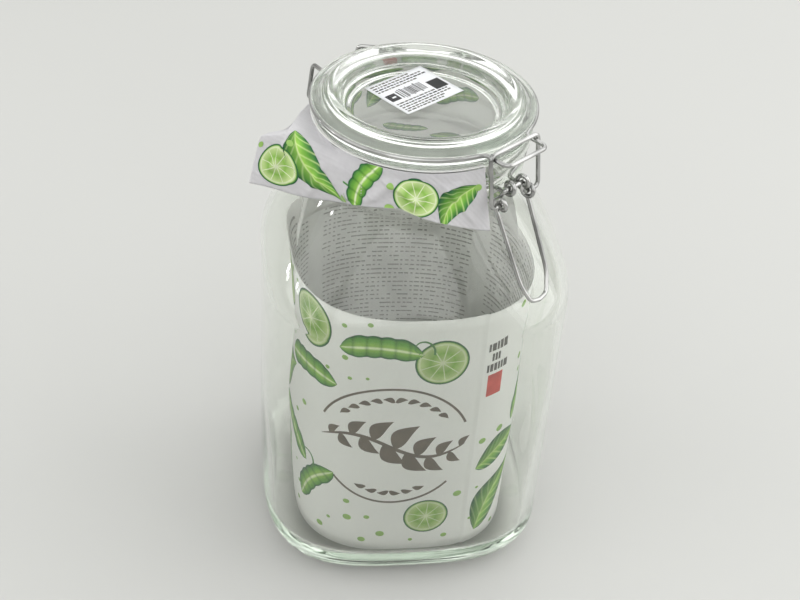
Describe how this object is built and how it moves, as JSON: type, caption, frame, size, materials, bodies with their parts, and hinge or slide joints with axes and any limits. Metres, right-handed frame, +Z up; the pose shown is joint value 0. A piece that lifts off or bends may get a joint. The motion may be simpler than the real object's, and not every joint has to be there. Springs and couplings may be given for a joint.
{
  "type": "clip top jar",
  "caption": "Square glass storage jar with a round neck, a hinged glass lid on a rubber seal, a wire toggle latch, and printed paper inside and folded over the rim.",
  "frame": {"origin": "centre of the jar's flat base", "axes": "+Z up through the lid; the jar's flat sides face along X and Y; the latch is 52 degrees from +X towards -Y and the hinge is opposite it"},
  "size_m": [0.1491, 0.143, 0.2449],
  "materials": {
    "glass": "clear, smooth, with a faint green tint",
    "lid_glass": "clear pressed glass, smooth",
    "wire": "bright round wire",
    "seal": "pale translucent, soft",
    "printed_paper": null,
    "folded_paper": null,
    "label": "matte white paper"
  },
  "bodies": {
    "jar": {"jar_glass": "glass", "neck_wire": "wire", "paper_liner": "printed_paper", "paper_flap": "folded_paper"},
    "lid": {"lid_glass": "lid_glass", "seal_ring": "seal", "lid_wire": "wire", "price_label": "label"},
    "lever": {"lever_wire": "wire"},
    "bail": {"bail_wire": "wire"}
  },
  "joints": [
    {"name": "lid_hinge", "type": "hinge", "parent": "jar", "child": "lid", "pos_m": [-0.03602, 0.0461, 0.219], "axis": [-0.788, -0.6157, 0], "range_deg": [0, 110]},
    {"name": "lever_pivot", "type": "hinge", "parent": "jar", "child": "lever", "pos_m": [0.03534, -0.04523, 0.2235], "axis": [-0.788, -0.6157, 0], "range_deg": [0, 90]},
    {"name": "bail_pivot", "type": "hinge", "parent": "lever", "child": "bail", "pos_m": [0.03534, -0.04523, 0.217], "axis": [-0.788, -0.6157, 0], "range_deg": [-135, 0]}
  ],
  "couplings": [
    {"joint": "bail_pivot", "follows": "lever_pivot", "ratio": -1.5}
  ]
}
